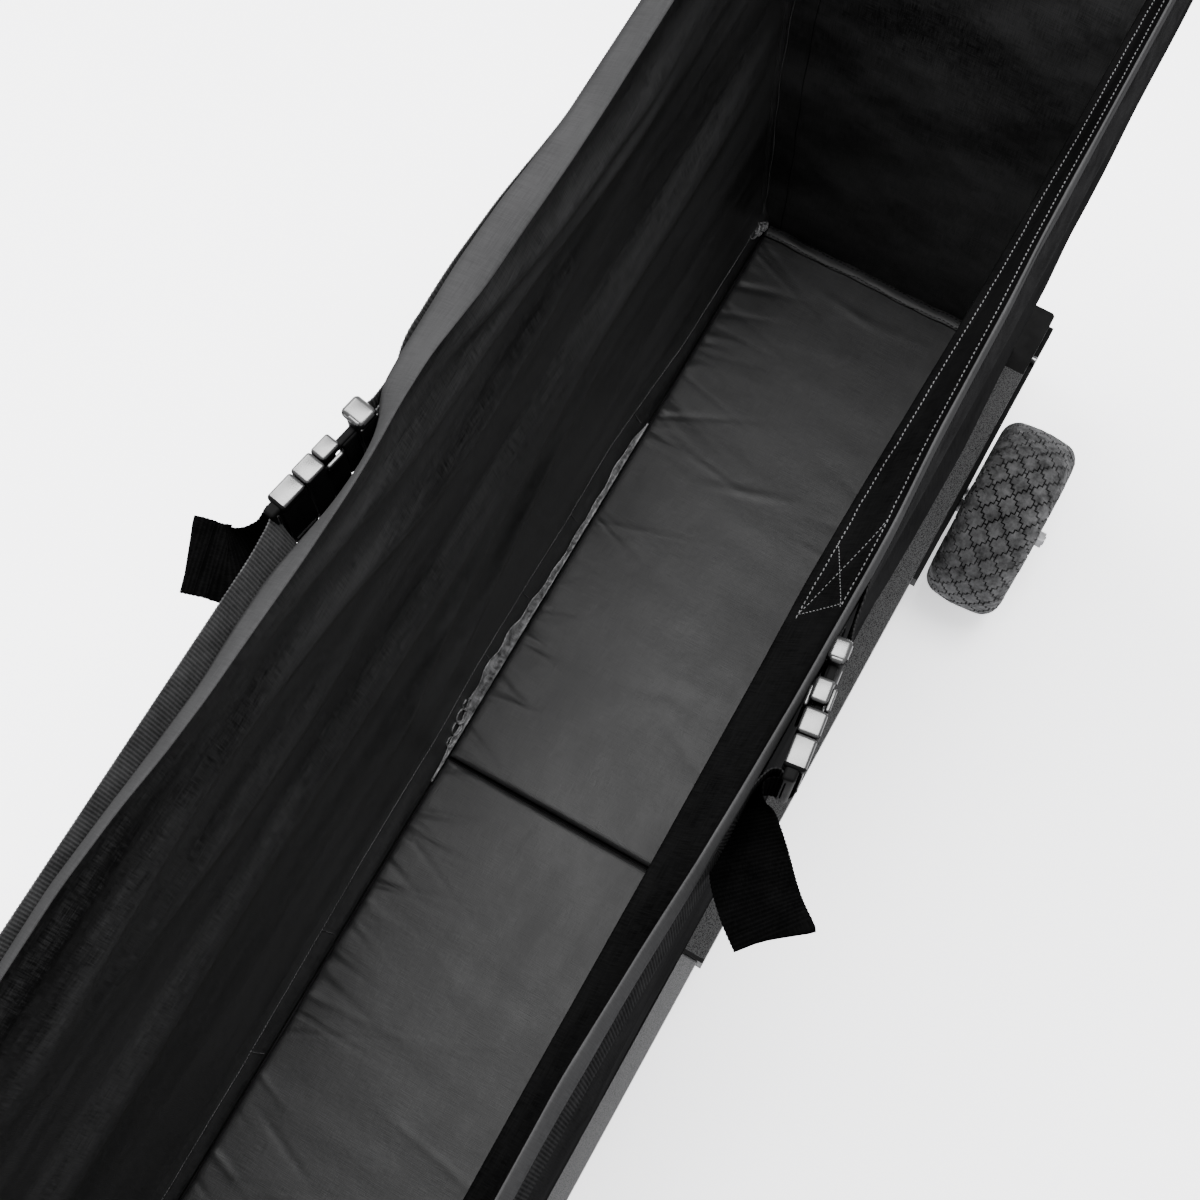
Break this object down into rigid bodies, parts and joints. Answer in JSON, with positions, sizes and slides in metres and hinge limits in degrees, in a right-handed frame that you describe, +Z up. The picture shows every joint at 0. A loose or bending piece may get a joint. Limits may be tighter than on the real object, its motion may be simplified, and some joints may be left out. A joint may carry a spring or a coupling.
{
  "type": "wheeled gear bag",
  "caption": "Long deep open-top fabric bag with a buckled compression strap, on a telescoping steel chassis with wide knobby wheels, swivel casters and a folding tow handle.",
  "frame": {"origin": "on the ground under the middle of the bounding box", "axes": "+X along the bag towards the wheel end, +Y to the bag's left side, +Z up"},
  "size_m": [1.464, 0.538, 0.925],
  "materials": {
    "frame_paint": "hammertone",
    "inner_paint": "fine hammertone",
    "end_cap": "satin",
    "bright_steel": "zinc plated",
    "caster_steel": "zinc plated",
    "hub_plastic": "matte",
    "tyre_rubber": "matte",
    "caster_rubber": "matte",
    "grip_foam": "matte",
    "knob_plastic": "matte",
    "bag_fabric": "coated woven nylon",
    "hem_tape": "woven binding",
    "floor_fabric": "coated woven nylon",
    "webbing": "ribbed webbing",
    "buckle_plastic": "satin"
  },
  "bodies": {
    "chassis": {"outer_rail_left": "frame_paint", "outer_rail_right": "frame_paint", "rail_bush_left": "knob_plastic", "rail_bush_right": "knob_plastic", "rear_cap_left": "end_cap", "rear_cap_right": "end_cap", "outer_crossbar_front": "frame_paint", "outer_crossbar_rear": "frame_paint", "axle_bracket_left": "frame_paint", "axle_bracket_right": "frame_paint", "wheel_axle": "bright_steel", "axle_nuts": "bright_steel", "wheel_washers": "bright_steel", "cap_bolts": "bright_steel", "bag_base": "bag_fabric", "bag_side_left": "bag_fabric", "bag_side_right": "bag_fabric", "bag_end_front": "bag_fabric", "bag_end_rear": "bag_fabric", "hem_left": "hem_tape", "hem_right": "hem_tape", "hem_front": "hem_tape", "hem_rear": "hem_tape", "strap_rear_left": "webbing", "strap_rear_right": "webbing", "strap_end_rear": "webbing", "strap_end_front": "webbing", "buckle_male_left": "buckle_plastic", "buckle_male_right": "buckle_plastic"},
    "inner_frame": {"inner_rail_left": "inner_paint", "inner_rail_right": "inner_paint", "front_cap_left": "end_cap", "front_cap_right": "end_cap", "inner_crossbar_front": "inner_paint", "inner_crossbar_rear": "inner_paint", "caster_plate_left": "caster_steel", "caster_plate_right": "caster_steel", "handle_hinge_left": "end_cap", "handle_hinge_right": "end_cap"},
    "handle": {"tow_handle": "end_cap", "handle_grip": "grip_foam"},
    "floor_front": {"floor_panel_front": "floor_fabric"},
    "floor_rear": {"floor_panel_rear": "floor_fabric"},
    "wheel_left": {"wheel_hub_left": "hub_plastic", "tyre_left": "tyre_rubber"},
    "caster_swivel_left": {"caster_fork_left": "caster_steel"},
    "caster_roller_left": {"caster_wheel_left": "caster_rubber"},
    "clamp_left": {"clamp_knob_left": "knob_plastic"},
    "strap_left": {"buckle_female_left": "buckle_plastic", "strap_front_left": "webbing", "strap_tail_left": "webbing"},
    "wheel_right": {"wheel_hub_right": "hub_plastic", "tyre_right": "tyre_rubber"},
    "caster_swivel_right": {"caster_fork_right": "caster_steel"},
    "caster_roller_right": {"caster_wheel_right": "caster_rubber"},
    "clamp_right": {"clamp_knob_right": "knob_plastic"},
    "strap_right": {"buckle_female_right": "buckle_plastic", "strap_front_right": "webbing", "strap_tail_right": "webbing"}
  },
  "joints": [
    {"name": "frame_extension", "type": "slide", "parent": "chassis", "child": "inner_frame", "axis": [-1, 0, 0], "range_m": [0, 0.32]},
    {"name": "handle_fold", "type": "hinge", "parent": "inner_frame", "child": "handle", "pos_m": [-0.714, 0, 0.165], "axis": [0, -1, 0], "range_deg": [0, 80]},
    {"name": "floor_fold_front", "type": "hinge", "parent": "chassis", "child": "floor_front", "pos_m": [0, 0, 0.1765], "axis": [0, 1, 0], "range_deg": [0, 78]},
    {"name": "floor_fold_rear", "type": "hinge", "parent": "chassis", "child": "floor_rear", "pos_m": [0, 0, 0.1765], "axis": [0, -1, 0], "range_deg": [0, 78]},
    {"name": "wheel_spin_left", "type": "hinge", "parent": "chassis", "child": "wheel_left", "pos_m": [0.517, 0.218, 0.1015], "axis": [0, 1, 0], "continuous": true},
    {"name": "caster_turn_left", "type": "hinge", "parent": "inner_frame", "child": "caster_swivel_left", "pos_m": [-0.65, 0.153, 0.105], "axis": [0, 0, 1], "continuous": true},
    {"name": "caster_spin_left", "type": "hinge", "parent": "caster_swivel_left", "child": "caster_roller_left", "pos_m": [-0.622, 0.153, 0.0375], "axis": [0, 1, 0], "continuous": true},
    {"name": "clamp_turn_left", "type": "hinge", "parent": "chassis", "child": "clamp_left", "pos_m": [0.02, 0.153, 0.1], "axis": [0, 0, 1], "range_deg": [0, 350]},
    {"name": "buckle_release_left", "type": "slide", "parent": "chassis", "child": "strap_left", "axis": [-0.9833, 0.1822, 0], "range_m": [0, 0.05]},
    {"name": "wheel_spin_right", "type": "hinge", "parent": "chassis", "child": "wheel_right", "pos_m": [0.517, -0.218, 0.1015], "axis": [0, 1, 0], "continuous": true},
    {"name": "caster_turn_right", "type": "hinge", "parent": "inner_frame", "child": "caster_swivel_right", "pos_m": [-0.65, -0.153, 0.105], "axis": [0, 0, 1], "continuous": true},
    {"name": "caster_spin_right", "type": "hinge", "parent": "caster_swivel_right", "child": "caster_roller_right", "pos_m": [-0.622, -0.153, 0.0375], "axis": [0, 1, 0], "continuous": true},
    {"name": "clamp_turn_right", "type": "hinge", "parent": "chassis", "child": "clamp_right", "pos_m": [0.02, -0.153, 0.1], "axis": [0, 0, 1], "range_deg": [0, 350]},
    {"name": "buckle_release_right", "type": "slide", "parent": "chassis", "child": "strap_right", "axis": [-0.9925, -0.1219, 0], "range_m": [0, 0.05]}
  ]
}
